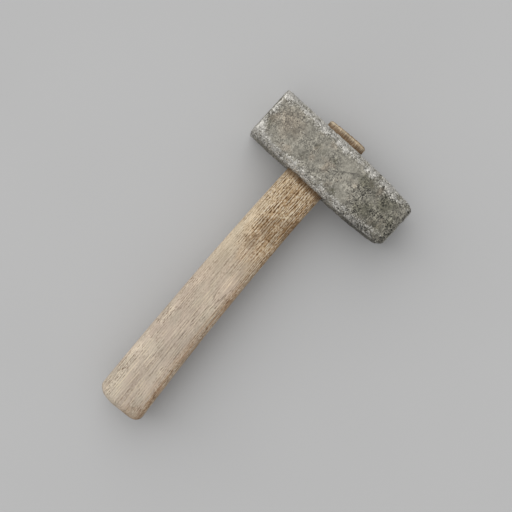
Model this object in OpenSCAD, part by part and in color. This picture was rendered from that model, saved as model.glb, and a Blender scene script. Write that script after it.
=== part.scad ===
// Short-handled forging hammer, lying on one side of its head.
// +X runs down the handle to the butt, +Y along the head to its narrow face, +Z up.
// The origin is on the resting side of the head, straight below the middle of the eye.

/* [Head] */
// Width across the head, measured along the handle
head_w = 43.5; // [36:0.5:50]
// Height of the head, from its resting side to its upper side
head_h = 43.5; // [36:0.5:50]
// From the middle of the eye to the broad striking face
broad_reach = 56.5; // [48:0.5:66]
// From the middle of the eye to the narrow striking face
narrow_reach = 73.5; // [62:0.5:84]
// Width of the narrow striking face
narrow_w = 37.5; // [30:0.5:39]
// Height of the narrow striking face
narrow_h = 37.5; // [30:0.5:39]
// From the middle of the eye to the line where the head starts to taper
taper_start = 20; // [18.5:0.5:26]
// Leg of the bevel on the long edges of the broad half
bevel = 4.5; // [2:0.5:6]
// Leg of the same bevel where it reaches the narrow face
narrow_bevel = 5; // [3:0.5:6]
// Round on the rim of the broad face
broad_rim = 1.5; // [1:0.5:4]
// Round on the rim of the narrow face
narrow_rim = 5; // [2:0.5:6]

/* [Eye] */
// Length of the eye's mouths, along the head
eye_l = 34.6; // [28:0.2:36]
// Height of the eye's mouths
eye_h = 22; // [20:0.2:24]
// How far each wall of the eye closes in at its waist
eye_waist = 0.9; // [0.3:0.1:1.5]
// Gap left all round between the tongue and the eye
eye_gap = 0.1; // [0.05:0.05:0.2]

/* [Handle] */
// From the middle of the eye to the butt of the handle
handle_reach = 242; // [190:1:300]
// How far the tongue stands proud of the head
stub = 7.2; // [3:0.2:12]
// Width of the handle at its butt
butt_w = 40.6; // [36:0.2:44]
// Height of the handle at its butt
butt_h = 28; // [24:0.2:32]
// How far the handle has bowed towards the narrow face at its butt
bow = 9.5; // [0:0.5:12]
// Round on the rim of the butt
butt_round = 6; // [3:0.5:8]
// Round on the hammered rim of the stub
stub_round = 1.4; // [0.6:0.2:2.4]
// How square the handle's section is: 2 is an oval, and more is squarer
squareness = 3.6; // [2.6:0.1:5]

/* [Wedges] */
// Depth of the wooden wedge in the tongue
wood_wedge_l = 38; // [26:1:42]
// Thickness of the wooden wedge at its head
wood_wedge_top = 4.6; // [3.4:0.2:6]
// Thickness of the wooden wedge at its tip
wood_wedge_tip = 1.8; // [1.6:0.1:2.4]
// Width of the saw kerf
kerf_w = 1.5; // [1:0.1:1.6]
// How far the kerf runs on past the wooden wedge
kerf_spare = 5; // [3:0.5:8]
// Depth of each steel wedge in the tongue
steel_wedge_l = 21; // [14:1:25]
// Breadth of each steel wedge
steel_wedge_w = 14.5; // [12:0.5:16]
// Thickness of each steel wedge at its head
steel_wedge_top = 3.4; // [2.4:0.2:4.4]
// Thickness of each steel wedge at its tip
steel_wedge_tip = 0.8; // [0.6:0.1:1.2]
// Distance between the two steel wedges
steel_wedge_spread = 15; // [12:0.5:18]
// Barbs on each broad side of a steel wedge
barbs = 4; // [2:1:5]
// Depth of a barb
barb_depth = 0.3; // [0.2:0.05:0.4]
// Gap left on each side of a wedge
wedge_gap = 0.05; // [0.02:0.01:0.1]

/* [Hidden] */

section_points = 48;
eye_steps = 8;
grip_steps = 20;
taper_steps = 12;
round_step = 15;
cut_past = 1;
taper_power = 2;
bow_power = 1.7;
swell_power = 1.5;

axis_z = head_h / 2;
mouth_x = head_w / 2;
stub_x = -mouth_x - stub;
grip_l = handle_reach - mouth_x;

// Share of the grip's length that lies between the head and x
function along(x) = max(0, x - mouth_x) / grip_l;

// Sideways place of the handle's centreline at x, and the angle it has turned through
function bow_at(x) = bow * pow(along(x), bow_power);
function bow_turn(x) = atan(bow * bow_power * pow(along(x), bow_power - 1) / grip_l);

// Half a width that closes in to the eye's waist and swells to the butt
function half_at(x, mouth, butt) =
    abs(x) < mouth_x
        ? mouth / 2 - eye_waist * (1 - pow(x / mouth_x, 2))
        : mouth / 2 + (butt - mouth) / 2 * pow(along(x), swell_power);

function signed_power(value, power) = sign(value) * pow(abs(value), power);

// One closed section across the handle at x, drawn in by inset all round
function section(x, inset) =
    let (
        half_y = half_at(x, eye_l, butt_w) - inset,
        half_z = half_at(x, eye_h, butt_h) - inset,
        turn = bow_turn(x)
    )
    [for (i = [0 : section_points - 1])
        let (
            angle = 360 * (i + 0.5) / section_points,
            side = half_y * signed_power(cos(angle), 2 / squareness),
            up = half_z * signed_power(sin(angle), 2 / squareness)
        )
        [x - side * sin(turn), bow_at(x) + side * cos(turn), up]];

// Places and insets of the sections that round off an end, where way is 1 for the far end of a piece
// and -1 for its near end. The first of them lies where the round begins.
function round_end(end, radius, way, inset) =
    [for (angle = [0 : round_step : 90])
        [end - way * radius * (1 - sin(angle)), inset + radius * (1 - cos(angle))]];

function reversed(list) = [for (i = [len(list) - 1 : -1 : 0]) list[i]];

// Closes a row of like sections, each with as many points, into one solid
module loft(sections) {
    count = len(sections[0]);
    last = (len(sections) - 1) * count;
    sides = [for (i = [0 : len(sections) - 2], j = [0 : count - 1])
        let (a = i * count + j, b = i * count + (j + 1) % count)
        each [[a, a + count, b + count], [a, b + count, b]]];
    near_cap = [for (j = [0 : count - 1]) j];
    far_cap = [for (j = [count - 1 : -1 : 0]) last + j];
    polyhedron([for (s = sections) each s], concat(sides, [near_cap, far_cap]));
}

// Sections evenly spaced from one place to another, both ends included
function even_sections(from_x, to_x, steps, inset) =
    [for (i = [0 : steps]) section(from_x + (to_x - from_x) * i / steps, inset)];

// Share of the head's taper that is done at y, and a size that is drawn in with it
function tapered(y) = pow(max(0, y - taper_start) / (narrow_reach - taper_start), taper_power);
function drawn_in(broad, narrow, y) = broad + (narrow - broad) * tapered(y);

// The head's section at y: a block with bevelled edges, drawn in by inset all round
function head_section(y, inset) =
    let (
        across = drawn_in(head_w, narrow_w, y) / 2 - inset,
        up = drawn_in(head_h, narrow_h, y) / 2 - inset,
        leg = drawn_in(bevel, narrow_bevel, y) - (2 - sqrt(2)) * inset,
        corners = [
            [up, leg - across], [up, across - leg], [up - leg, across], [leg - up, across],
            [-up, across - leg], [-up, leg - across], [leg - up, -across], [up - leg, -across]
        ]
    )
    [for (c = corners) [c[1], y, c[0]]];

// The head without its eye, from the rim of its broad face to the rim of its narrow face
module head_block() {
    taper_l = narrow_reach - narrow_rim - taper_start;
    stations = concat(
        reversed(round_end(-broad_reach, broad_rim, -1, 0)),
        [for (i = [0 : taper_steps - 1]) [taper_start + taper_l * i / taper_steps, 0]],
        round_end(narrow_reach, narrow_rim, 1, 0)
    );
    loft([for (s = stations) head_section(s[0], s[1])]);
}

// The eye: an hourglass of the tongue's own form, run straight out past both mouths
module eye() {
    waist = even_sections(-mouth_x, mouth_x, eye_steps, 0);
    outer = [for (p = waist[0]) p - [cut_past, 0, 0]];
    inner = [for (p = waist[eye_steps]) p + [cut_past, 0, 0]];
    loft(concat([outer], waist, [inner]));
}

module head()
    color("#8a877c")
        translate([0, 0, axis_z])
            difference() {
                head_block();
                eye();
            }

// The tongue from its hammered end to the inner mouth of the eye
function tongue_sections() = concat(
    [for (s = reversed(round_end(stub_x, stub_round, -1, eye_gap))) section(s[0], s[1])],
    even_sections(-mouth_x, mouth_x, eye_steps, eye_gap)
);

function grip_sections() = concat(
    [for (i = [1 : grip_steps - 1])
        section(mouth_x + (grip_l - butt_round) * i / grip_steps, eye_gap)],
    [for (s = round_end(handle_reach, butt_round, 1, eye_gap)) section(s[0], s[1])]
);

// A wedge seen along its edge, from its head at the stub down to its tip
module wedge_outline(depth, top, tip, gap)
    polygon([
        [stub_x - gap, -top / 2 - gap], [stub_x - gap, top / 2 + gap],
        [stub_x + depth + gap, tip / 2 + gap], [stub_x + depth + gap, -tip / 2 - gap]
    ]);

// The same view of a steel wedge, whose sides step back out at each barb
module barbed_outline() {
    function half(x) =
        (steel_wedge_top + (steel_wedge_tip - steel_wedge_top) * x / steel_wedge_l) / 2;
    step = steel_wedge_l / (barbs + 1);
    steps = [for (i = [1 : barbs])
        let (x = i * step)
        each [[x, half(x) - barb_depth], [x, half(x)]]];
    side = concat([[0, half(0)]], steps, [[steel_wedge_l, half(steel_wedge_l)]]);
    polygon(concat(
        [for (p = side) [stub_x + p[0], p[1]]],
        [for (p = reversed(side)) [stub_x + p[0], -p[1]]]
    ));
}

// Carries a wedge's outline along the head, for the wooden wedge and its kerf
module through_tongue()
    rotate([90, 0, 0])
        linear_extrude(2 * eye_l, center = true)
            children();

// Stands a steel wedge's outline across the wooden wedge, to one side of the tongue's middle
module across_tongue(side, breadth)
    translate([0, side * steel_wedge_spread / 2, 0])
        linear_extrude(breadth, center = true)
            children();

module steel_slots()
    for (side = [-1, 1])
        across_tongue(side, steel_wedge_w + 2 * wedge_gap)
            wedge_outline(steel_wedge_l, steel_wedge_top, steel_wedge_tip, wedge_gap);

module kerf()
    through_tongue() {
        wedge_outline(wood_wedge_l, wood_wedge_top, wood_wedge_tip, wedge_gap);
        translate([stub_x, -kerf_w / 2]) square([wood_wedge_l + kerf_spare, kerf_w]);
    }

module handle()
    color("#b8a78c")
        translate([0, 0, axis_z])
            difference() {
                loft(concat(tongue_sections(), grip_sections()));
                kerf();
                steel_slots();
            }

module wooden_wedge()
    color("#9c8763")
        translate([0, 0, axis_z])
            difference() {
                intersection() {
                    loft(tongue_sections());
                    through_tongue()
                        wedge_outline(wood_wedge_l, wood_wedge_top, wood_wedge_tip, 0);
                }
                steel_slots();
            }

module steel_wedge(side)
    color("#77736c")
        translate([0, 0, axis_z])
            across_tongue(side, steel_wedge_w)
                barbed_outline();

head();
handle();
wooden_wedge();
steel_wedge(-1);  // steel_wedge_broad_side
steel_wedge(1);  // steel_wedge_narrow_side
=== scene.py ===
"""A weathered hand sledge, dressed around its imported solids, with the stage it is shown on."""

import math
from functools import cache, partial

import bmesh
import bpy
import numpy as np
from bpy.props import FloatProperty, FloatVectorProperty, IntProperty, PointerProperty
from bpy.types import Operator, Panel, PropertyGroup
from mathutils import Matrix, Vector


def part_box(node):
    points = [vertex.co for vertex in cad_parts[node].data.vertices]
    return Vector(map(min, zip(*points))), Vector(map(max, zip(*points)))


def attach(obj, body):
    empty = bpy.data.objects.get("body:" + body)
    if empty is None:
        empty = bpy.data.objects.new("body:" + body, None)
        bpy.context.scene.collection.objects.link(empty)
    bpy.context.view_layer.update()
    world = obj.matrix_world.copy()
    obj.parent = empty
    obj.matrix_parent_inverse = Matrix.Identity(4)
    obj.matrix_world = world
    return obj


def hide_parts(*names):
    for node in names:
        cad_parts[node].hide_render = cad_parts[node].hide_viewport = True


bl_info = {
    "name": "Hand Sledge",
    "version": (1, 0, 0),
    "blender": (4, 5, 0),
    "location": "View3D > Sidebar > Hammer",
    "description": "Dresses the solids of a hand sledge and sets the stage it lies on",
    "category": "Add Mesh",
}

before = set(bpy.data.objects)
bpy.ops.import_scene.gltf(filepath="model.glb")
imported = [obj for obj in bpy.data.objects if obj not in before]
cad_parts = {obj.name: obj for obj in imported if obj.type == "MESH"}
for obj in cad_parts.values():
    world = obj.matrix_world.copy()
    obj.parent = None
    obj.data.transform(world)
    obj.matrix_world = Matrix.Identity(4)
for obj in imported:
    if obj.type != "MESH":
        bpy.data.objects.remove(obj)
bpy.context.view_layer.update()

HEAD_LOW, HEAD_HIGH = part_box("head")
AXIS_Z = (HEAD_LOW.z + HEAD_HIGH.z) / 2
MOUTH_X = HEAD_HIGH.x
STUB_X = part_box("handle")[0].x

MM = 1000.0
PICTURE_PX = 512
BOW_POWER = 1.7
SWELL_POWER = 1.5
SECTION_POINTS = 2048
STUB_SPARE = 0.003
SLOT_GAP = 0.00012
FLOOR_HALF = 3.0
WEDGES = ("wooden_wedge", "steel_wedge_broad_side", "steel_wedge_narrow_side")


def number_property(name, description, default, kind=FloatProperty, **settings):
    return kind(name=name, description=description, default=default, **settings)


count_property = partial(number_property, kind=IntProperty)
length_property = partial(number_property, precision=5, subtype="DISTANCE", unit="LENGTH")


def angle_property(name, description, degrees):
    return number_property(name, description, math.radians(degrees), subtype="ANGLE")


def colour_property(name, description, *seen):
    """A colour whose default is given as seen on a screen, from 0 to 255, and kept as linear."""
    shares = (value / 255 for value in seen)
    linear = [s / 12.92 if s <= 0.04045 else ((s + 0.055) / 1.055) ** 2.4 for s in shares]
    return number_property(
        name, description, linear, FloatVectorProperty, min=0, max=1, subtype="COLOR"
    )


class HeadSettings(PropertyGroup):
    mesh_size: length_property("Mesh size", "Spacing of the points on the head", 0.00056)
    dent_depth: length_property("Dent depth", "Depth of the broad forging dents", 0.00025)
    flake_depth: length_property("Flake depth", "Step where a layer of scale is lost", 0.00016)
    chip_depth: length_property("Chip depth", "How far the long edges are chipped", 0.0009)
    pit_depth: length_property("Pit depth", "Depth of the rust pits", 0.00025)
    grit_depth: length_property("Grit depth", "Depth of the uneven scale", 0.0003)
    ding_depth: length_property("Ding depth", "Depth of the dings in both faces", 0.0004)
    softening: count_property("Softening", "Rounds of edge rounding", 4)
    seed: count_property("Seed", "Picks the pattern of pits and chips", 3)
    steel: colour_property("Steel", "Dull grey of the flats", 146, 142, 131)
    worn: colour_property("Worn steel", "Bright metal on the edges", 212, 209, 202)
    tarnish: colour_property("Tarnish", "Dark olive scale", 88, 86, 66)
    rust: colour_property("Rust", "Faint warm rust", 150, 132, 112)
    soot: colour_property("Soot", "Dirt in the pits", 52, 50, 45)


class HandleSettings(PropertyGroup):
    reach: length_property("Reach", "From the middle of the eye to the butt", 0.2415)
    tongue_w: length_property("Tongue width", "Width at the eye's mouths", 0.0344)
    tongue_h: length_property("Tongue height", "Height at the eye's mouths", 0.0218)
    waist: length_property("Waist", "How far the tongue closes in inside the eye", 0.0009)
    butt_w: length_property("Butt width", "Width at the butt", 0.0404)
    butt_h: length_property("Butt height", "Height at the butt", 0.0278)
    bow: length_property("Bow", "How far the butt has bowed to one side", 0.0095)
    butt_round: length_property("Butt round", "Round on the rim of the butt", 0.006)
    butt_wear: length_property("Butt wear", "How far the butt's broad side is worn back", 0.0035)
    butt_wear_run: length_property("Butt wear run", "Length of handle that this wear reaches", 0.014)
    stub_round: length_property("Stub round", "Round on the rim of the stub", 0.0014)
    stub_slant: number_property(
        "Stub slant", "How much shorter the stub is on its broad side", 0.2, subtype="FACTOR"
    )
    squareness: number_property("Squareness", "2 is an oval, and more is squarer", 3.6)
    ring_points: count_property("Ring points", "Points round the handle", 264)
    ring_step: length_property("Ring step", "Spacing of the rings along the handle", 0.0011)
    cap_rings: count_property("Cap rings", "Rings across each end", 24)
    wave_depth: length_property("Wave depth", "Depth of the hand-worn unevenness", 0.00025)
    grain_depth: length_property("Grain depth", "Depth of the raised grain", 0.00012)
    crack_depth: length_property("Crack depth", "Depth of the drying cracks", 0.0005)
    beaten_depth: length_property("Beaten depth", "Hammer marks in the stub's end", 0.0004)
    seed: count_property("Seed", "Picks the pattern of the grain", 11)
    bleached: colour_property("Bleached", "Sun-bleached wood of the grip", 186, 174, 157)
    brown: colour_property("Brown", "Browner wood near the head", 180, 149, 110)
    rosy: colour_property("Rosy", "Rosy tinge in the bleached wood", 189, 173, 157)
    pale: colour_property("Pale", "Pale worn streaks in the browner wood", 222, 206, 176)
    light: colour_property("Light grain", "Light lines of the grain", 220, 206, 183)
    orange: colour_property("Orange", "Warm wood on the rounded sides", 148, 108, 66)
    stain: colour_property("Stain", "Dark stains near the head", 98, 72, 44)
    dark: colour_property("Dark grain", "Dark lines of the grain", 80, 57, 37)


class WedgeSettings(PropertyGroup):
    mesh_size: length_property("Mesh size", "Spacing of the points on the wooden wedge", 0.0004)
    steel_mesh_size: length_property("Steel mesh size", "Spacing on the steel wedges", 0.00025)
    dent_depth: length_property("Dent depth", "Depth of the hammer marks on the wedges", 0.00025)
    wood: colour_property("Wedge wood", "Wood of the wedge", 150, 124, 88)
    steel: colour_property("Wedge steel", "Rusty steel of the cross wedges", 104, 98, 90)


class StageSettings(PropertyGroup):
    view_x: length_property("View X", "Where the camera looks, along the handle", 0.0867)
    view_y: length_property("View Y", "Where the camera looks, along the head", 0.0095)
    foot_x: length_property("Foot X", "Where the camera stands, along the handle", 0.0867)
    foot_y: length_property("Foot Y", "Where the camera stands, along the head", -0.025)
    pixel_size: length_property("Pixel size", "Size of a pixel at the camera's plane", 0.000744)
    plane_height: length_property("Plane height", "Height of the plane of that size", 0.038)
    distance_px: number_property("Distance", "Camera distance from that plane, in pixels", 1100)
    turn: angle_property("Turn", "How far the camera is turned about the upright", 132.5)
    floor: colour_property("Floor", "Plain floor", 186, 186, 186)
    key: number_property("Key light", "Strength of the key light", 1.9)
    key_tilt: angle_property("Key tilt", "How far the key light leans from the upright", 52)
    key_heading: angle_property("Key heading", "How far the key light turns to the stub", 20)
    key_spread: angle_property("Key spread", "How wide the key light looks from the object", 85)
    sky: number_property("Sky light", "Strength of the even light", 0.62)


# Nodes


class Wire:
    """An output of a node. Arithmetic on it adds Math nodes to its tree."""

    def __init__(self, tree, socket):
        self.tree = tree
        self.socket = socket

    def __add__(self, other):
        return calc("ADD", self, other)

    def __sub__(self, other):
        return calc("SUBTRACT", self, other)

    def __rsub__(self, other):
        return calc("SUBTRACT", other, self)

    def __mul__(self, other):
        return calc("MULTIPLY", self, other)

    def __truediv__(self, other):
        return calc("DIVIDE", self, other)

    def __rtruediv__(self, other):
        return calc("DIVIDE", other, self)

    def __pow__(self, other):
        return calc("POWER", self, other)

    def __abs__(self):
        return calc("ABSOLUTE", self)


def feed(socket, value):
    """Feeds a socket from a wire, or sets its value."""
    if isinstance(value, Wire):
        value.tree.links.new(value.socket, socket)
    else:
        socket.default_value = value


def new_node(tree, kind, inputs=None, **settings):
    """Adds a node with these settings, and feeds its inputs."""
    node = tree.nodes.new(kind)
    for name, value in settings.items():
        setattr(node, name, value)
    for name, value in (inputs or {}).items():
        feed(node.inputs[name], value)
    return node


def add(tree, kind, inputs=None, output=0, **settings):
    """Adds a node, and gives one of its outputs."""
    return Wire(tree, new_node(tree, kind, inputs, **settings).outputs[output])


def outputs_of(node):
    return {socket.name: Wire(node.id_data, socket) for socket in node.outputs}


def tree_of(values):
    return next(value.tree for value in values if isinstance(value, Wire))


def calc(operation, *values, clamp=False):
    inputs = dict(enumerate(values))
    return add(tree_of(values), "ShaderNodeMath", inputs, operation=operation, use_clamp=clamp)


def larger(first, second):
    return calc("MAXIMUM", first, second)


def vector_calc(operation, *values):
    tree = tree_of(values)
    node = new_node(tree, "ShaderNodeVectorMath", operation=operation)
    for socket, value in zip([s for s in node.inputs if s.enabled], values):
        feed(socket, value)
    return Wire(tree, next(s for s in node.outputs if s.enabled))


def scaled(vector, factor):
    return vector_calc("SCALE", vector, factor)


def shifted(place, amount):
    return vector_calc("ADD", place, (amount, amount * 0.37, amount * 0.71))


def split(vector):
    """The X, Y and Z of a vector."""
    return outputs_of(new_node(vector.tree, "ShaderNodeSeparateXYZ", {0: vector})).values()


def fade(value, low, high, start=0.0, end=1.0):
    """Runs smoothly from start to end as the value goes from low to high."""
    inputs = dict(enumerate((value, low, high, start, end)))
    return add(value.tree, "ShaderNodeMapRange", inputs, interpolation_type="SMOOTHSTEP")


def mix(share, first, second):
    """Mixes two colours, each a wire or the red, green and blue of a plain one."""
    first, second = ((*c, 1.0) if isinstance(c, tuple) else c for c in (first, second))
    inputs = {0: share, 6: first, 7: second}
    return add(share.tree, "ShaderNodeMix", inputs, 2, data_type="RGBA", clamp_factor=True)


def noise(place, size, detail=3.0, roughness=0.55):
    """Even noise whose features are about one size across, in the units of place."""
    inputs = {"Vector": place, "Scale": 1.0 / size, "Detail": detail, "Roughness": roughness}
    return add(place.tree, "ShaderNodeTexNoise", inputs)


def grain_noise(straight, long, wide, shift=0, detail=1.0, roughness=0.55):
    """Noise drawn out along the grain, with marks about so long and so wide in millimetres."""
    place = vector_calc("MULTIPLY", straight, (1.0 / long, 1.0 / wide, 1.0 / wide))
    return noise(shifted(place, shift), 1.0, detail, roughness)


def ragged(place, size, amount):
    """Places thrown about by noise of one size, by up to half the amount each way."""
    inputs = {"Vector": place, "Scale": 1.0 / size, "Detail": 4.0, "Roughness": 0.6}
    colour = add(place.tree, "ShaderNodeTexNoise", inputs, 1)
    centred = vector_calc("SUBTRACT", colour, (0.5, 0.5, 0.5))
    return vector_calc("ADD", place, scaled(centred, amount))


def spots(place, centres):
    """Soft round spots, each given as its middle and its radius in millimetres."""
    level = 0.0
    for *middle, radius in centres:
        away = vector_calc("DISTANCE", place, tuple(middle))
        level = larger(level, fade(away, radius, radius * 0.25))
    return level


def straighten(place, given):
    """Places in millimetres with the handle's bow taken out, so that grain follows the handle."""
    x, y, z = split(place)
    share = larger((x - MOUTH_X * MM) / given["Bow length"], 0.0) ** BOW_POWER
    across = y - share * given["Bow"]
    return add(place.tree, "ShaderNodeCombineXYZ", {"X": x, "Y": across, "Z": z})


SOCKET_KINDS = {
    "Geometry": "NodeSocketGeometry",
    "Material": "NodeSocketMaterial",
    "Place": "NodeSocketVector",
    "Straight": "NodeSocketVector",
    "Softening": "NodeSocketInt",
    "Wear rounds": "NodeSocketInt",
}


def new_socket(tree, label, in_out):
    kind = SOCKET_KINDS.get(label, "NodeSocketFloat")
    return tree.interface.new_socket(label, in_out=in_out, socket_type=kind)


def new_group(name, kind, inputs):
    """A node group, and its inputs as wires. Each input has a default, or None where it needs none."""
    tree = bpy.data.node_groups.new(name, kind)
    for label, default in inputs.items():
        socket = new_socket(tree, label, "INPUT")
        if default is not None:
            socket.default_value = default
    return tree, outputs_of(tree.nodes.new("NodeGroupInput"))


def put_out(tree, **outputs):
    """Gives a group its outputs, by their names."""
    for label in outputs:
        new_socket(tree, label, "OUTPUT")
    new_node(tree, "NodeGroupOutput", outputs)
    return tree


# Relief made by Geometry Nodes


def blurred(place, rounds):
    """The mean place of each point's neighbours, after so many rounds."""
    inputs = {"Value": place, "Iterations": rounds}
    return add(place.tree, "GeometryNodeBlurAttribute", inputs, data_type="FLOAT_VECTOR")


def bulge(place, rounds):
    """How far each point stands out from its neighbourhood, in millimetres."""
    normal = add(place.tree, "GeometryNodeInputNormal")
    apart = vector_calc("SUBTRACT", place, blurred(place, rounds))
    return vector_calc("DOT_PRODUCT", apart, normal) * MM


def store(geometry, name, value):
    inputs = {"Geometry": geometry, "Name": name, "Value": value}
    return add(geometry.tree, "GeometryNodeStoreNamedAttribute", inputs, data_type="FLOAT")


def stored(tree, name):
    return add(tree, "GeometryNodeInputNamedAttribute", {"Name": name}, data_type="FLOAT")


def sink(geometry, depth_mm):
    """Moves each point into the piece by a depth in millimetres."""
    offset = scaled(add(geometry.tree, "GeometryNodeInputNormal"), depth_mm * (-1.0 / MM))
    inputs = {"Geometry": geometry, "Offset": offset}
    return add(geometry.tree, "GeometryNodeSetPosition", inputs)


def soften(geometry, rounds):
    """Rounds the edges off by letting each point settle among its neighbours."""
    position = add(geometry.tree, "GeometryNodeInputPosition")
    inputs = {"Geometry": geometry, "Position": blurred(position, rounds)}
    return add(geometry.tree, "GeometryNodeSetPosition", inputs)


def close_tree(geometry, rounds, material):
    """Stores the relief as it now is, and ends the tree in one plain geometry."""
    moved = add(geometry.tree, "GeometryNodeInputPosition")
    geometry = store(geometry, "relief", bulge(moved, rounds))
    whole = add(geometry.tree, "GeometryNodeRealizeInstances", {"Geometry": geometry})
    inputs = {"Geometry": whole, "Material": material}
    return put_out(geometry.tree, Geometry=add(geometry.tree, "GeometryNodeSetMaterial", inputs))


def round_pits(place, size, reach):
    """Round pits: 1 at the middle of a cell, and 0 from reach outwards."""
    inputs = {"Vector": place, "Scale": 1.0 / size}
    return fade(add(place.tree, "ShaderNodeTexVoronoi", inputs), 0.0, reach, 1.0, 0.0)


def crack_lines(straight, width):
    """Cracks where a stretched noise crosses its middle, opened only here and there."""
    off = abs(grain_noise(straight, 70.0, 6.0, 0, 2.0, 0.5) - 0.5)
    where = grain_noise(straight, 34.0, 9.0)
    return fade(off, 0.0, width, 1.0, 0.0) * fade(where, 0.58, 0.66)


@cache
def forged_surface():
    """Softened edges, then dents, lost scale, chips, rust pits and grit sunk into the surface."""
    inputs = {
        "Geometry": None,
        "Dent depth": 0.3,
        "Flake depth": 0.2,
        "Chip depth": 1.0,
        "Pit depth": 0.3,
        "Grit depth": 0.3,
        "Ding depth": 0.4,
        "Low face": -1000.0,
        "High face": 1000.0,
        "Wear reach": 0.9,
        "Softening": 12,
        "Wear rounds": 110,
        "Seed": 0.0,
        "Material": None,
    }
    tree, given = new_group("Forged surface", "GeometryNodeTree", inputs)
    position = add(tree, "GeometryNodeInputPosition")
    geometry = soften(given["Geometry"], given["Softening"])
    bulging = fade(bulge(position, given["Wear rounds"]), 0.04, given["Wear reach"])
    geometry = store(geometry, "edge", bulging)
    edge = stored(tree, "edge")
    _, y, _ = split(scaled(position, MM))
    inside = calc("MINIMUM", y - given["Low face"], given["High face"] - y)
    geometry = store(geometry, "face", fade(inside, 1.3, 0.4))
    face = stored(tree, "face")
    rough = fade(face, 0.0, 1.0, 1.0, 0.3)

    start = add(tree, "ShaderNodeCombineXYZ", {"X": given["Seed"]})
    place = vector_calc("ADD", scaled(position, MM), start)
    dents = fade(noise(shifted(place, 40), 15.0, 2.0), 0.3, 0.75)
    layers = noise(shifted(place, 60), 19.0, 5.0, 0.6)
    flakes = fade(layers, 0.5, 0.515) + fade(layers, 0.58, 0.6)
    flakes *= fade(edge, 0.0, 0.5, 1.0, 0.4)
    chips = fade(noise(place, 6.0, 5.0, 0.62), 0.42, 0.66) * fade(edge, 0.0, 0.7, 0.0, 0.8)
    pits = larger(round_pits(place, 3.0, 0.45), round_pits(shifted(place, 90), 1.7, 0.5))
    pits *= fade(noise(shifted(place, 70), 9.0, 2.0), 0.4, 0.62)
    grit = fade(noise(shifted(place, 20), 3.4, 6.0, 0.68), 0.28, 0.72)
    dings = round_pits(ragged(shifted(place, 150), 4.0, 3.0), 9.0, 0.3)
    depth = (
        dents * given["Dent depth"]
        + flakes * given["Flake depth"]
        + chips * given["Chip depth"]
        + pits * rough * given["Pit depth"]
        + grit * rough * given["Grit depth"]
        + dings * face * given["Ding depth"]
    )
    return close_tree(sink(geometry, depth), 4, given["Material"])


@cache
def wood_surface():
    """Raised grain, drying cracks and hand-worn unevenness, each sunk into the surface."""
    inputs = {
        "Geometry": None,
        "Wave depth": 0.4,
        "Grain depth": 0.2,
        "Crack depth": 0.7,
        "Beaten depth": 0.35,
        "Bow length": 216.5,
        "Bow": 9.0,
        "Seed": 0.0,
        "Material": None,
    }
    tree, given = new_group("Wood surface", "GeometryNodeTree", inputs)
    position = add(tree, "GeometryNodeInputPosition")
    place = scaled(position, MM)
    straight = straighten(place, given)
    start = add(tree, "ShaderNodeCombineXYZ", {"X": given["Seed"]})
    seeded = vector_calc("ADD", straight, start)
    waves = fade(grain_noise(seeded, 38.0, 13.0, 0, 2.0), 0.25, 0.75)
    grain = fade(grain_noise(seeded, 34.0, 0.95, 0, 2.0, 0.6), 0.35, 0.7)
    x, _, _ = split(place)
    past = x - STUB_X * MM
    beaten = fade(noise(shifted(place, 60), 3.2, 4.0, 0.6), 0.35, 0.65) * fade(past, 2.0, 0.5)
    depth = (
        waves * given["Wave depth"]
        + grain * given["Grain depth"]
        + crack_lines(seeded, 0.012) * given["Crack depth"]
        + beaten * given["Beaten depth"]
    )
    geometry = store(given["Geometry"], "past", past)
    lengthways, _, _ = split(add(tree, "GeometryNodeInputNormal"))
    geometry = store(geometry, "end", fade(abs(lengthways), 0.7, 0.92))
    return close_tree(sink(geometry, depth), 3, given["Material"])


def settle(piece):
    """Turns what the modifiers make of a piece into its plain mesh."""
    depsgraph = bpy.context.evaluated_depsgraph_get()
    mesh = bpy.data.meshes.new_from_object(piece.evaluated_get(depsgraph))
    piece.modifiers.clear()
    old = piece.data
    piece.data = mesh
    mesh.name = piece.name
    bpy.data.meshes.remove(old)


def carve(piece, tree, values):
    """Runs a Geometry Nodes tree on a piece, with its named inputs set."""
    modifier = piece.modifiers.new(tree.name, "NODES")
    modifier.node_group = tree
    for item in tree.interface.items_tree:
        if item.in_out == "INPUT" and item.name in values:
            modifier[item.identifier] = values[item.name]
    settle(piece)


# Shared shader groups


def value_attribute(tree, name):
    return add(tree, "ShaderNodeAttribute", output="Fac", attribute_name=name)


@cache
def speckle_group():
    """Fine light and dark specks of rough steel, about 0.5 on average."""
    tree, given = new_group("Speckle", "ShaderNodeTree", {"Place": None, "Size": 2.0})
    place = scaled(given["Place"], 1.0 / given["Size"])
    coarse = noise(place, 1.2, 3.0, 0.6)
    return put_out(tree, Coarse=coarse, Fine=noise(shifted(place, 31), 0.5, 2.0, 0.6))


@cache
def wear_group():
    """Where rubbing has left bright metal: on what stands out, and most of all at the edges."""
    inputs = {"Place": None, "Fine": 0.5, "Amount": 0.5}
    tree, given = new_group("Wear", "ShaderNodeTree", inputs)
    place = given["Place"]
    gaps = noise(shifted(place, 17), 7.0, 4.0, 0.65)
    edge = value_attribute(tree, "edge") ** 0.55 * fade(gaps, 0.36, 0.6, 0.5, 1.15)
    relief = fade(value_attribute(tree, "relief"), -0.15, 0.15, -0.16, 0.16)
    patches = (noise(place, 5.5, 4.0, 0.65) - 0.5) * 1.5
    level = edge * given["Amount"] + relief + (given["Fine"] - 0.5) * 1.5 + patches
    return put_out(tree, Mask=fade(level, 0.26, 0.86))


@cache
def grime_group():
    """Where dirt lies in the hollows."""
    tree, given = new_group("Grime", "ShaderNodeTree", {"Reach": 0.08})
    share = value_attribute(tree, "relief") / given["Reach"]
    return put_out(tree, Mask=fade(share, 0.0, -1.0))


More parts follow.
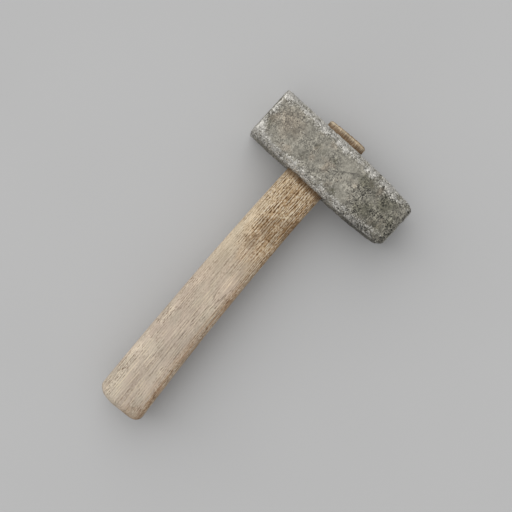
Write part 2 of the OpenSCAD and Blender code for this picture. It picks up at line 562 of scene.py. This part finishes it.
@cache
def wood_figure_group():
    """The marks in the wood, along straightened grain: its rings, and finer lines over them."""
    inputs = {
        "Place": None,
        "Bow length": 216.5,
        "Bow": 9.0,
        "Ring spacing": 2.1,
        "Line spacing": 1.8,
    }
    tree, given = new_group("Wood figure", "ShaderNodeTree", inputs)
    straight = straighten(given["Place"], given)
    from_heart = vector_calc("ADD", straight, (0.0, 70.0, -8.0))
    flat = vector_calc("MULTIPLY", from_heart, (0.0, 1.0, 1.0))
    drift = grain_noise(straight, 90.0, 14.0, 0, 3.0)
    turns = calc("FRACT", (vector_calc("LENGTH", flat) + drift * 9.0) / given["Ring spacing"])

    # The waves are mirrored about both middle planes, so that no line stops at a corner.
    _, side, height = split(straight)
    across = abs(side) - abs(height - AXIS_Z * MM) * 0.8
    wander = grain_noise(straight, 90.0, 4.2, 3)
    wave = calc("SINE", across * math.tau / given["Line spacing"] + wander * 12.0)
    seen = grain_noise(straight, 26.0, 1.5, 12)
    deep = grain_noise(straight, 15.0, 1.5, 9)
    return put_out(
        tree,
        Straight=straight,
        Rings=turns**2.0 * fade(turns, 1.0, 0.85),
        Fibres=wave * fade(seen, 0.36, 0.6, 0.3, 1.0),
        Flecks=fade(grain_noise(straight, 1.9, 0.9, 40, 1.0, 0.5), 0.36, 0.64, -1.0, 1.0),
        Mottle=fade(grain_noise(straight, 5.0, 3.4, 140, 2.0, 0.6), 0.3, 0.7, -1.0, 1.0),
        Streaks=grain_noise(straight, 50.0, 2.4, 0, 3.0, 0.6),
        Strokes=fade(wave, -0.2, -0.9) * fade(deep, 0.52, 0.64),
        Scratches=fade(wave, 0.2, 0.9) * fade(deep, 0.48, 0.36),
        Cracks=crack_lines(shifted(straight, 33), 0.006),
        Patches=grain_noise(straight, 30.0, 9.0, 5, 4.0, 0.6),
    )


def use_group(tree, group, inputs):
    return outputs_of(new_node(tree, "ShaderNodeGroup", inputs, node_tree=group))


def new_material(name):
    """A material with its shader, and object places in millimetres."""
    material = bpy.data.materials.new(name)
    material.use_nodes = True
    tree = material.node_tree
    place = scaled(add(tree, "ShaderNodeTexCoord", output="Object"), MM)
    return material, tree, tree.nodes["Principled BSDF"], place


def bump(shader, height, distance_mm):
    inputs = {"Height": height, "Distance": distance_mm / MM}
    feed(shader.inputs["Normal"], add(height.tree, "ShaderNodeBump", inputs))


# Steel. The spots are for its upper side: each is a middle and a radius, in mm.

OLIVE_SPOTS = ((-6, 54, 43, 12), (8, 44, 43, 12), (13, 60, 43, 12), (-8, 34, 43, 10), (2, 68, 43, 9))
WARM_SPOTS = ((-3, -38, 43, 16), (2, 3, 43, 7))
SMOOTH_SPOTS = ((-10, -23, 43, 9), (11, 20, 43, 9), (-6, 17, 43, 10), (3, -32, 43, 9))
CREASE_SPOTS = ((3, 6, 43, 10), (-2, 13, 43, 11), (-5, 19, 43, 9))
CREASE_ACROSS = (0.813, 0.583, 0.0)  # the way that crosses it, one long
CREASE_AT = 6.7  # how far that way it lies from the middle of the eye
PALE_SPOTS = (
    (14, -16, 43, 11), (-6, 16, 43, 10), (8, 22, 43, 9),
    (4, 1, 43, 7), (-7, -11, 43, 11), (3, -46, 43, 10),
)
WORN_SPOTS = (
    (-18, -53, 42, 9), (-18, -20, 42, 9), (-18, 4, 42, 12), (-17, 30, 42, 9), (-16, 52, 42, 10),
    (14, -56, 40, 14), (18, -20, 42, 8), (18, 24, 42, 9), (19, -44, 40, 9),
)


def painted_crease_shade(place):
    """A slanting cold shut in the upper side of the head, drawn as painted shade: a dark line along it,
    and a painted soft shadow on one side.
    """
    off = vector_calc("DOT_PRODUCT", ragged(place, 3.4, 5.0), CREASE_ACROSS) - CREASE_AT
    line = fade(abs(off), 0.1, 0.9, 0.58, 0.0)
    painted_soft_shadow = fade(off, -0.3, 0.3) * fade(off, 0.0, 4.0, 0.18, 0.0)
    return larger(line, painted_soft_shadow) * spots(place, CREASE_SPOTS)


def bright_metal(place, thrown, rim, above, fine, wear):
    """Where rubbing and blows have left the steel bright. The broad face's rim is kept dark there, as
    painted shade.
    """
    tree = place.tree
    x, _, _ = split(place)
    _, y, _ = split(thrown)
    # Less bright metal on the narrow face's rim: painted shade, where that rim turns from the light.
    amount = fade(y, 58.0, 70.0, wear, wear - 0.4)
    bevels = fade(x, -15.5, -18.5, 0.0, 0.2) + fade(x, 16.0, 18.5, 0.0, 0.45)
    bevels += fade(x, 12.0, 13.5, 0.0, -0.15)
    amount += bevels * above
    amount -= fade(y, 14.0, 40.0, 0.0, 0.1)
    amount += spots(thrown, WORN_SPOTS) * 0.3
    inputs = {"Place": place, "Fine": fine, "Amount": amount}
    rubbed = use_group(tree, wear_group(), inputs)["Mask"]
    struck = fade(noise(shifted(place, 180), 7.0, 5.0, 0.65), 0.34, 0.62, 0.1, 0.8)
    bright = larger(rubbed, struck * value_attribute(tree, "face"))
    # The broad face's rim gets no bright metal, so its painted shade stays dark.
    return calc("SUBTRACT", bright, rim, clamp=True)


def scale_colour(place, thrown, clouds, edge, colours):
    """Dull grey, with olive tarnish that gathers near the narrow face, and faint rust."""
    _, y, _ = split(thrown)
    dark_end = fade(y, 22.0, 62.0) * fade(clouds, 0.3, 0.55)
    olive = larger(dark_end * 0.55, fade(clouds, 0.56, 0.75))
    olive = larger(olive, spots(thrown, OLIVE_SPOTS) * 0.75)
    olive *= fade(edge, 0.1, 0.6, 0.8, 0.35)
    warm = fade(noise(shifted(place, 120), 14.0, 4.0, 0.6), 0.54, 0.72)
    warm = larger(warm, spots(thrown, WARM_SPOTS))
    colour = mix(olive, colours["steel"], colours["tarnish"])
    return mix(warm * 0.32, colour, colours["rust"])


def steel_shade(place, thrown, clouds, speck, near_end):
    """How light the scale is: mottled and speckled, darker towards the narrow face, with painted shade
    in the crease, on the narrow face's rim and on the handle's side.
    """
    x, _, _ = split(place)
    _, y, _ = split(thrown)
    shade = fade(noise(shifted(place, 77), 4.5, 6.0, 0.7), 0.3, 0.7, 0.72, 1.28)
    shade *= fade(clouds, 0.35, 0.65, 1.14, 0.86)
    # Painted shade on the narrow face's rim, which turns from the light.
    shade *= fade(y, 64.0, 74.0, 1.0, 0.72)
    shade *= fade(y, 20.0, 46.0, 1.0, 0.82)
    calm = fade(noise(shifted(place, 210), 13.0, 3.0), 0.36, 0.6, 0.4, 1.2)
    calm *= fade(spots(ragged(place, 5.0, 8.0), SMOOTH_SPOTS), 0.0, 1.0, 1.0, 0.35)
    shade *= speck * calm * fade(y, 15.0, 55.0, 1.0, 2.1) + 1.0
    # Painted shade of the crease: a dark line and a soft shadow beside it.
    shade *= 1.0 - painted_crease_shade(place)
    # Painted shade on the handle's side, towards the narrow face.
    shade *= 1.0 - near_end * 0.28
    runs = noise(vector_calc("MULTIPLY", place, (0.6, 0.6, 0.1)), 1.0, 2.0)
    return shade * (fade(runs, 0.38, 0.62, -0.26, 0.22) * fade(x, 20.0, 21.3) + 1.0)


def steel_material(name, colours, wear):
    """Pitted steel: scale, soot in its hollows and bright metal, with painted shade on the handle's
    side.
    """
    material, tree, shader, place = new_material(name)
    specks = use_group(tree, speckle_group(), {"Place": place})
    grime = use_group(tree, grime_group(), {"Reach": 0.15})
    fine, coarse = specks["Fine"], specks["Coarse"]
    speck = fade(fine, 0.3, 0.7, -0.42, 0.42) + fade(coarse, 0.32, 0.68, -0.24, 0.24)
    thrown = ragged(place, 7.0, 16.0)
    clouds = noise(shifted(place, 55), 16.0, 5.0, 0.65)
    edge = value_attribute(tree, "edge")
    x, y, z = split(place)
    above = fade(z, 34.0, 39.0)
    # rim: painted shade, a dark line along the broad face's outer rim.
    rim = fade(y, -54.7, -55.9, 0.0, 0.6) * above
    # near_end: painted shade on the bevel of the handle's side, towards the narrow face.
    near_end = fade(x, 15.0, 19.0) * fade(y, 30.0, 48.0)

    shade = steel_shade(place, thrown, clouds, speck, near_end) * (1.0 - rim)
    shade += spots(thrown, PALE_SPOTS) * 0.15
    colour = scaled(scale_colour(place, thrown, clouds, edge, colours), shade)
    sooty = grime["Mask"] * fade(edge, 0.1, 0.6, 0.5, 0.6)
    colour = mix(sooty, colour, colours["soot"])
    bright = bright_metal(place, thrown, rim, above, fine, wear)
    worn = scaled(colours["worn"], fade(fine, 0.3, 0.7, 0.58, 1.2))
    colour = mix(bright * 0.88, colour, worn)
    # grit: real speckle on the bevel of the handle's side, with its lower part darkened as painted
    # shade.
    grit = fade(x, 16.5, 18.5, 0.0, 0.5) * speck - fade(x, 19.3, 21.3, 0.0, 0.2)
    colour = scaled(colour, grit - near_end * 0.24 + 1.0)
    feed(shader.inputs["Base Color"], colour)
    feed(shader.inputs["Metallic"], fade(bright, 0.0, 1.0, 0.2, 0.75))
    feed(shader.inputs["Roughness"], fade(bright, 0.0, 1.0, 0.72, 0.42))
    faces = value_attribute(tree, "face")
    bump(shader, (fine + coarse * 1.5) * fade(faces, 0.0, 1.0, 1.0, 0.25), 0.4)
    return material


# Wood, with its spots given in the same way.

BUTT_SPOTS = ((238, 24, 22, 20),)
SCRATCHED_SPOTS = ((50, 5, 33, 8), (61, 8, 33, 5))
STAIN_SPOTS = ((65, 2, 33, 11), (56, 12, 33, 15), (70, 9, 33, 8), (80, 0, 33, 8))
LIGHT_SPOTS = (
    (49, -4, 33, 8), (66, -10, 33, 9), (118, 10, 35, 15), (136, 11, 35, 15), (197, -4, 35, 16),
)


def bow_inputs(handle):
    """The handle's bow, as the trees of the wood take it, in millimetres."""
    return {"Bow length": (handle.reach - MOUTH_X) * MM, "Bow": handle.bow * MM}


def ground_colour(figure, thrown, browned, colours):
    """Bleached wood, browner near the head, with pale streaks and a warm side."""
    straight = figure["Straight"]
    x, side, _ = split(straight)
    tinge = fade(grain_noise(straight, 24.0, 12.0, 15, 2.0), 0.35, 0.68)
    colour = mix(tinge, colours["bleached"], colours["rosy"])
    colour = mix(browned, colour, colours["brown"])
    pale = fade(figure["Streaks"], 0.52, 0.7) * browned * 0.6
    pale = larger(pale, figure["Scratches"] * 0.5)
    pale = larger(pale, fade(side, 0.0, -12.0) * fade(x, 140.0, 80.0) * 0.4)
    colour = mix(pale, colour, colours["pale"])
    warm = fade(grain_noise(straight, 36.0, 2.2, 0, 3.0), 0.3, 0.6)
    warm = fade(side, 9.5, 16.0) * warm * fade(x, 80.0, 130.0, 0.6, 1.0)
    warm = larger(warm, spots(thrown, BUTT_SPOTS))
    return mix(warm * 0.7, colour, colours["orange"])


def grained(colour, fibres, figure, thrown, browned, busy, colours):
    """A colour with the fine grain in it, which is strongest near the head and on the sides."""
    _, side, _ = split(figure["Straight"])
    tone = fade(figure["Patches"], 0.3, 0.7, 0.88, 1.12) * fade(side, -10.0, -17.0, 1.0, 0.94)
    colour = scaled(colour, tone + spots(thrown, LIGHT_SPOTS) * 0.15)
    sides = larger(fade(side, 9.5, 16.0, 0.0, 0.6), fade(side, -8.0, -14.0, 0.0, 0.45))
    contrast = fade(larger(browned, sides), 0.0, 1.0, 0.37, 1.15)
    contrast *= fade(busy, 0.0, 1.0, 0.4, 1.2)
    lined = fibres * fade(browned, 0.0, 0.5, 0.8, 1.0)
    fine = (lined * 0.44 + figure["Flecks"] * 0.32 + figure["Mottle"] * 0.14) * contrast
    colour = mix(calc("MULTIPLY", fine, 1.4, clamp=True), colour, colours["light"])
    return mix(calc("MULTIPLY", fine, -1.4, clamp=True), colour, colours["stain"])


def dark_lines(figure, grime, browned, busy, along):
    """Rings, broken strokes, cracks, and dirt in the hollows."""
    ringed = larger(fade(browned, 0.0, 1.0, 0.1, 0.35), fade(along, 1.0, 0.0, 0.0, 0.5))
    strokes = figure["Strokes"] * fade(browned, 0.0, 1.0, 0.3, 0.65)
    strokes = strokes * fade(busy, 0.0, 1.0, 0.3, 1.0) * along
    lines = larger(figure["Rings"] * ringed, strokes)
    return larger(larger(lines, figure["Cracks"] * 0.85), grime["Mask"] * 0.4)


def ended(colour, place, straight, colours):
    """A colour with the stub faded, blotched and beaten, and grime with painted contact shade where the
    wood meets the head.
    """
    x, _, _ = split(straight)
    colour = mix(fade(x, 0.0, -20.0, 0.0, 0.3), colour, colours["bleached"])
    colour = scaled(colour, fade(x, 0.0, -20.0, 1.0, 0.94))
    blotches = fade(grain_noise(straight, 12.0, 3.0, 130, 3.0), 0.38, 0.62, -0.38, 0.2)
    colour = scaled(colour, blotches * fade(x, -20.0, -23.0) + 1.0)
    past = value_attribute(place.tree, "past")
    colour = mix(fade(past, 3.4, 1.8) * 0.35, colour, colours["pale"])
    dirt = fade(noise(shifted(place, 95), 3.0, 5.0, 0.65), 0.35, 0.65, 0.35, 0.9)
    colour = mix(dirt * fade(past, 1.8, 0.5), colour, colours["stain"])
    # proud: grime and painted contact shade, darkest where the wood meets the head.
    proud = abs(x) - MOUTH_X * MM
    return mix(fade(proud, 5.5, 1.0) * 0.72, colour, colours["stain"])


def wood_material(name, colours, brown_end, ring_spacing, handle):
    """Weathered wood. brown_end is how far along the handle the browner wood reaches, in mm."""
    material, tree, shader, place = new_material(name)
    inputs = {"Place": place, "Ring spacing": ring_spacing, **bow_inputs(handle)}
    figure = use_group(tree, wood_figure_group(), inputs)
    grime = use_group(tree, grime_group(), {"Reach": 0.07})
    straight = figure["Straight"]
    thrown = ragged(place, 9.0, 18.0)
    x, side, _ = split(straight)
    reach = x + figure["Patches"] * -110.0 - side * 1.2
    browned = fade(reach, brown_end - 25.0, brown_end - 85.0, 0.0, 0.75)
    browned += fade(x, 2.2 * brown_end, 0.6 * brown_end, 0.0, 0.25)
    busy = fade(grain_noise(straight, 11.0, 5.5, 0, 2.0), 0.38, 0.6)
    busy = larger(busy, browned * 0.75)
    along = 1.0 - value_attribute(tree, "end")
    fibres = figure["Fibres"] * fade(along, 0.0, 1.0, 0.1, 1.0)
    lines = dark_lines(figure, grime, browned, busy, along)

    colour = ground_colour(figure, thrown, browned, colours)
    colour = grained(colour, fibres, figure, thrown, browned, busy, colours)
    colour = mix(spots(thrown, STAIN_SPOTS) * 0.43, colour, colours["stain"])
    colour = mix(lines, colour, colours["dark"])
    rubbed = spots(place, SCRATCHED_SPOTS) * fade(noise(place, 1.5, 2.0), 0.5, 0.62)
    colour = mix(rubbed * 0.6, colour, colours["pale"])
    feed(shader.inputs["Base Color"], ended(colour, place, straight, colours))
    feed(shader.inputs["Roughness"], fade(fibres, -1.0, 1.0, 0.9, 0.72))
    shader.inputs["Specular IOR Level"].default_value = 0.3
    bump(shader, fibres * 0.25 + figure["Flecks"] * 0.15 - lines * 0.8, 0.3)
    return material


# Meshes


def new_piece(name, mesh):
    piece = bpy.data.objects.new(name, mesh)
    bpy.context.scene.collection.objects.link(piece)
    return piece


def copy_of_node(node, name):
    """A new piece with a merged copy of a CAD node's mesh."""
    solid = bmesh.new()
    solid.from_mesh(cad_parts[node].data)
    bmesh.ops.remove_doubles(solid, verts=solid.verts, dist=1e-6)
    mesh = bpy.data.meshes.new(name)
    solid.to_mesh(mesh)
    solid.free()
    mesh.materials.clear()
    return new_piece(name, mesh)


def remesh(piece, size):
    """Covers a piece evenly with small squares."""
    modifier = piece.modifiers.new("Even mesh", "REMESH")
    modifier.mode = "VOXEL"
    modifier.voxel_size = size
    modifier.use_smooth_shade = True


def move_points(piece, new_lengthways):
    """Sets the X of a piece's points to what new_lengthways makes of their places."""
    mesh = piece.data
    places = np.empty(len(mesh.vertices) * 3, np.float32)
    mesh.vertices.foreach_get("co", places)
    places = places.reshape(-1, 3)
    places[:, 0] = new_lengthways(places[:, 0], places[:, 1])
    mesh.vertices.foreach_set("co", places.ravel())
    mesh.update()


def slant_stub(piece, handle):
    """Shortens the stub towards its broad side, as if the end was sawn a little out of square."""

    def slanted(x, y):
        cut = handle.stub_slant * (handle.tongue_w / 2 - y) / handle.tongue_w
        return np.where(x < -MOUTH_X, -MOUTH_X + (x + MOUTH_X) * (1 - cut), x)

    move_points(piece, slanted)


def wear_butt(piece, handle):
    """Draws the butt in towards its broad side, as if that corner had been worn rounder."""

    def worn(x, y):
        near_end = np.clip((x - handle.reach) / handle.butt_wear_run + 1, 0, 1)
        off = np.clip((handle.bow - y) / (handle.butt_w / 2), 0, 1)
        return x - handle.butt_wear * near_end**2 * off**2

    move_points(piece, worn)


def superellipse(half_w, half_h, power):
    angle = 2 * np.pi * (np.arange(SECTION_POINTS) + 0.5) / SECTION_POINTS
    side = half_w * np.sign(np.cos(angle)) * np.abs(np.cos(angle)) ** (2 / power)
    up = half_h * np.sign(np.sin(angle)) * np.abs(np.sin(angle)) ** (2 / power)
    return side, up


def evened(side, up):
    """The same closed line with its points spaced evenly along it."""
    line = np.stack([np.append(side, side[0]), np.append(up, up[0])], axis=1)
    steps = np.linalg.norm(np.diff(line, axis=0), axis=1)
    run = np.concatenate([[0], np.cumsum(steps)])
    wanted = np.linspace(0, run[-1], len(side), endpoint=False)
    return np.interp(wanted, run, line[:, 0]), np.interp(wanted, run, line[:, 1])


def handle_ring(handle, x, inset, scale):
    """One ring of points across the handle, drawn in by inset and then scaled to its middle."""
    run = max(0.0, x - MOUTH_X) / (handle.reach - MOUTH_X)
    waist = handle.waist * max(0.0, 1 - (x / MOUTH_X) ** 2)
    swell = run**SWELL_POWER
    half_w = handle.tongue_w / 2 - waist + (handle.butt_w - handle.tongue_w) / 2 * swell
    half_h = handle.tongue_h / 2 - waist + (handle.butt_h - handle.tongue_h) / 2 * swell
    slope = handle.bow * BOW_POWER * run ** (BOW_POWER - 1) / (handle.reach - MOUTH_X)
    turn = math.atan(slope)
    section = superellipse(half_w - inset, half_h - inset, handle.squareness)
    pick = np.linspace(0, SECTION_POINTS, handle.ring_points, endpoint=False).astype(int)
    side, up = (line[pick] * scale for line in evened(*section))
    centre = handle.bow * run**BOW_POWER
    return np.stack(
        [x - side * math.sin(turn), centre + side * math.cos(turn), AXIS_Z + up], axis=1
    )


def rounded_stations(end, radius, way, count):
    """Places and insets of the rings that round off an end, from where the round begins."""
    angles = np.linspace(0, np.pi / 2, count)
    return [(end - way * radius * (1 - math.sin(a)), radius * (1 - math.cos(a))) for a in angles]


def handle_mesh(handle):
    """The handle as rings from the stub's middle, over its rim and down the grip, to the butt's."""
    stub = rounded_stations(STUB_X, handle.stub_round, -1, 7)
    butt = rounded_stations(handle.reach, handle.butt_round, 1, 9)
    start, end = stub[0][0], butt[0][0]
    count = int((end - start) / handle.ring_step)
    body = [(start + (end - start) * i / count, 0.0) for i in range(1, count)]
    scales = np.linspace(0, 1, handle.cap_rings + 1)[1:-1]
    rings = [(*stub[-1], s) for s in scales]
    rings += [(x, inset, 1.0) for x, inset in [*reversed(stub), *body, *butt]]
    rings += [(*butt[-1], s) for s in reversed(scales)]
    return lofted("handle", [handle_ring(handle, *ring) for ring in rings])


def lofted(name, rings):
    """Closes a row of rings into one mesh, with a fan at each end."""
    count = len(rings[0])
    places = np.concatenate([*rings, [rings[0].mean(axis=0), rings[-1].mean(axis=0)]])
    around = np.arange(count)
    onward = (around + 1) % count
    faces = []
    for i in range(len(rings) - 1):
        a, b = i * count, (i + 1) * count
        faces += np.stack([a + around, a + onward, b + onward, b + around], axis=1).tolist()
    middle = len(rings) * count
    far = middle - count
    pairs = list(zip(around.tolist(), onward.tolist()))
    faces += [[middle, o, a] for a, o in pairs]
    faces += [[middle + 1, far + a, far + o] for a, o in pairs]
    mesh = bpy.data.meshes.new(name)
    mesh.from_pydata(places.tolist(), [], faces)
    mesh.polygons.foreach_set("use_smooth", [True] * len(mesh.polygons))
    mesh.update()
    return mesh


def slot_cutter(node):
    """A copy of a wedge, grown by a gap all round and run out past the end of the stub."""
    cutter = copy_of_node(node, node + "_slot")
    solid = bmesh.new()
    solid.from_mesh(cutter.data)
    solid.normal_update()
    for point in solid.verts:
        point.co += point.normal * SLOT_GAP * math.sqrt(3)
        if point.co.x < STUB_X + SLOT_GAP:
            point.co.x -= STUB_SPARE
    solid.to_mesh(cutter.data)
    solid.free()
    return cutter


def cut_slots(piece):
    """Cuts the slots of all three wedges out of a piece."""
    cutters = [slot_cutter(node) for node in WEDGES]
    for cutter in cutters:
        modifier = piece.modifiers.new("Slot", "BOOLEAN")
        modifier.operation = "DIFFERENCE"
        modifier.solver = "EXACT"
        modifier.object = cutter
    settle(piece)
    for cutter in cutters:
        mesh = cutter.data
        bpy.data.objects.remove(cutter)
        bpy.data.meshes.remove(mesh)


def hand_over(piece, node):
    """Puts a finished piece on the object's one body in place of its CAD node."""
    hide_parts(node)
    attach(piece, "root")


# Operators


def colours_of(settings):
    """The colours among a piece's settings, by name."""
    properties = settings.bl_rna.properties.items()
    return {name: tuple(getattr(settings, name)) for name, p in properties if p.subtype == "COLOR"}


def depths_of(settings, *marks):
    """How deep each kind of mark is, as the trees take it, in millimetres."""
    return {f"{mark} depth": getattr(settings, f"{mark.lower()}_depth") * MM for mark in marks}


class HAMMER_OT_head(Operator):
    """Makes the forged head: an even mesh on the solid's form, dented, chipped and pitted"""

    bl_idname = "hammer.head"
    bl_label = "Head"

    def execute(self, context):
        head = context.scene.hammer_head
        piece = copy_of_node("head", "forged_head")
        remesh(piece, head.mesh_size)
        values = {
            **depths_of(head, "Dent", "Flake", "Chip", "Pit", "Grit", "Ding"),
            "Low face": HEAD_LOW.y * MM,
            "High face": HEAD_HIGH.y * MM,
            "Wear reach": 1.2,
            "Softening": head.softening,
            "Wear rounds": 190,
            "Seed": head.seed * 100.0,
            "Material": steel_material("head_steel", colours_of(head), wear=0.62),
        }
        carve(piece, forged_surface(), values)
        hand_over(piece, "head")
        return {"FINISHED"}


class HAMMER_OT_handle(Operator):
    """Makes the handle: a bowed loft with raised grain and drying cracks"""

    bl_idname = "hammer.handle"
    bl_label = "Handle"

    def execute(self, context):
        handle = context.scene.hammer_handle
        piece = new_piece("weathered_handle", handle_mesh(handle))
        material = wood_material(
            "handle_wood", colours_of(handle), brown_end=80.0, ring_spacing=2.1, handle=handle
        )
        values = {
            **depths_of(handle, "Wave", "Grain", "Crack", "Beaten"),
            **bow_inputs(handle),
            "Seed": handle.seed * 100.0,
            "Material": material,
        }
        carve(piece, wood_surface(), values)
        cut_slots(piece)
        slant_stub(piece, handle)
        wear_butt(piece, handle)
        hand_over(piece, "handle")
        return {"FINISHED"}


class HAMMER_OT_wooden_wedge(Operator):
    """Makes the wooden wedge: rough wood with the steel wedges' slots open in it"""

    bl_idname = "hammer.wooden_wedge"
    bl_label = "Wooden wedge"

    def execute(self, context):
        wedges = context.scene.hammer_wedges
        handle = context.scene.hammer_handle
        piece = copy_of_node("wooden_wedge", "driven_wooden_wedge")
        remesh(piece, wedges.mesh_size)
        colours = {**colours_of(handle), "brown": tuple(wedges.wood)}
        material = wood_material(
            "wedge_wood", colours, brown_end=300.0, ring_spacing=1.3, handle=handle
        )
        values = {
            **depths_of(handle, "Grain", "Crack", "Beaten"),
            "Wave depth": wedges.dent_depth * MM,
            "Bow": 0.0,
            "Seed": 50.0,
            "Material": material,
        }
        carve(piece, wood_surface(), values)
        slant_stub(piece, handle)
        hand_over(piece, "wooden_wedge")
        return {"FINISHED"}


class HAMMER_OT_steel_wedges(Operator):
    """Makes the two barbed steel wedges, hammered flush with the stub"""

    bl_idname = "hammer.steel_wedges"
    bl_label = "Steel wedges"

    def execute(self, context):
        wedges = context.scene.hammer_wedges
        colours = {**colours_of(context.scene.hammer_head), "steel": tuple(wedges.steel)}
        material = steel_material("wedge_steel", colours, wear=0.35)
        for place_from_broad, node in enumerate(WEDGES[1:]):
            piece = copy_of_node(node, "driven_" + node)
            remesh(piece, wedges.steel_mesh_size)
            values = {
                "Dent depth": wedges.dent_depth * MM,
                "Flake depth": 0.05,
                "Chip depth": wedges.dent_depth * MM,
                "Pit depth": 0.15,
                "Grit depth": 0.12,
                "Wear reach": 0.5,
                "Softening": 6,
                "Wear rounds": 60,
                "Seed": 200.0 + 31.0 * place_from_broad,
                "Material": material,
            }
            carve(piece, forged_surface(), values)
            slant_stub(piece, context.scene.hammer_handle)
            hand_over(piece, node)
        return {"FINISHED"}


class HAMMER_OT_stage(Operator):
    """Sets the plain floor, the soft lights and the camera"""

    bl_idname = "hammer.stage"
    bl_label = "Stage"

    def execute(self, context):
        stage = context.scene.hammer_stage
        self.make_floor(stage)
        self.make_sky(context.scene, stage)
        self.make_key(context.scene, stage)
        self.make_camera(context.scene, stage)
        context.scene.view_settings.view_transform = "Standard"
        return {"FINISHED"}

    def make_floor(self, stage):
        corners = [(x * FLOOR_HALF, y * FLOOR_HALF, 0) for x, y in ((-1, -1), (1, -1), (1, 1), (-1, 1))]
        mesh = bpy.data.meshes.new("floor")
        mesh.from_pydata(corners, [], [(0, 1, 2, 3)])
        material, _, shader, place = new_material("floor_paper")
        tone = fade(noise(place, 300.0, 2.0), 0.3, 0.7, 0.985, 1.015)
        feed(shader.inputs["Base Color"], scaled(tuple(stage.floor), tone))
        shader.inputs["Roughness"].default_value = 0.9
        shader.inputs["Specular IOR Level"].default_value = 0.1
        mesh.materials.append(material)
        new_piece("floor", mesh)

    def make_sky(self, scene, stage):
        """Even white light, which the camera and glossy metal see as the floor's own colour."""
        world = bpy.data.worlds.new("sky")
        world.use_nodes = True
        tree = world.node_tree
        even = tree.nodes["Background"]
        even.inputs["Color"].default_value = (1, 1, 1, 1)
        even.inputs["Strength"].default_value = stage.sky
        seen = add(tree, "ShaderNodeBackground", {"Color": (*stage.floor, 1.0), "Strength": 1.0})
        path = outputs_of(new_node(tree, "ShaderNodeLightPath"))
        share = larger(path["Is Camera Ray"], path["Is Glossy Ray"])
        inputs = {0: share, 1: Wire(tree, even.outputs[0]), 2: seen}
        both = add(tree, "ShaderNodeMixShader", inputs)
        feed(tree.nodes["World Output"].inputs["Surface"], both)
        scene.world = world

    def make_key(self, scene, stage):
        """A very soft key light that leans towards the broad face of the head."""
        lamp = bpy.data.lights.new("key", "SUN")
        lamp.energy = stage.key
        lamp.angle = stage.key_spread
        key = bpy.data.objects.new("key", lamp)
        key.rotation_euler = (stage.key_tilt, 0, -stage.key_heading)
        scene.collection.objects.link(key)

    def make_camera(self, scene, stage):
        """A camera that looks straight down, with its lens shifted from its foot to the view."""
        lens = bpy.data.cameras.new("camera")
        lens.lens = lens.sensor_width * stage.distance_px / PICTURE_PX
        field = PICTURE_PX * stage.pixel_size
        aside = Vector((stage.view_x - stage.foot_x, stage.view_y - stage.foot_y)) / field
        aside.rotate(Matrix.Rotation(-stage.turn, 2))
        lens.shift_x, lens.shift_y = aside
        camera = bpy.data.objects.new("camera", lens)
        height = stage.plane_height + stage.distance_px * stage.pixel_size
        camera.location = (stage.foot_x, stage.foot_y, height)
        camera.rotation_euler = (0, 0, stage.turn)
        scene.collection.objects.link(camera)
        scene.camera = camera


class HAMMER_PT_panel(Panel):
    bl_label = "Hammer"
    bl_space_type = "VIEW_3D"
    bl_region_type = "UI"
    bl_category = "Hammer"

    def draw(self, context):
        for operator, settings in STEPS:
            box = self.layout.box()
            box.operator(operator)
            group = getattr(context.scene, settings)
            for name in group.bl_rna.properties.keys():
                if name not in ("rna_type", "name"):
                    box.prop(group, name)


STEPS = (
    ("hammer.head", "hammer_head"),
    ("hammer.handle", "hammer_handle"),
    ("hammer.wooden_wedge", "hammer_wedges"),
    ("hammer.steel_wedges", "hammer_wedges"),
    ("hammer.stage", "hammer_stage"),
)
SETTINGS = {
    "hammer_head": HeadSettings,
    "hammer_handle": HandleSettings,
    "hammer_wedges": WedgeSettings,
    "hammer_stage": StageSettings,
}
CLASSES = (
    *SETTINGS.values(),
    HAMMER_OT_head,
    HAMMER_OT_handle,
    HAMMER_OT_wooden_wedge,
    HAMMER_OT_steel_wedges,
    HAMMER_OT_stage,
    HAMMER_PT_panel,
)


def register():
    for kind in CLASSES:
        bpy.utils.register_class(kind)
    for name, kind in SETTINGS.items():
        setattr(bpy.types.Scene, name, PointerProperty(type=kind))


def unregister():
    for name in SETTINGS:
        delattr(bpy.types.Scene, name)
    for kind in reversed(CLASSES):
        bpy.utils.unregister_class(kind)


def main():
    register()
    bpy.ops.hammer.head()
    bpy.ops.hammer.handle()
    bpy.ops.hammer.wooden_wedge()
    bpy.ops.hammer.steel_wedges()
    bpy.ops.hammer.stage()


if __name__ == "__main__":
    main()
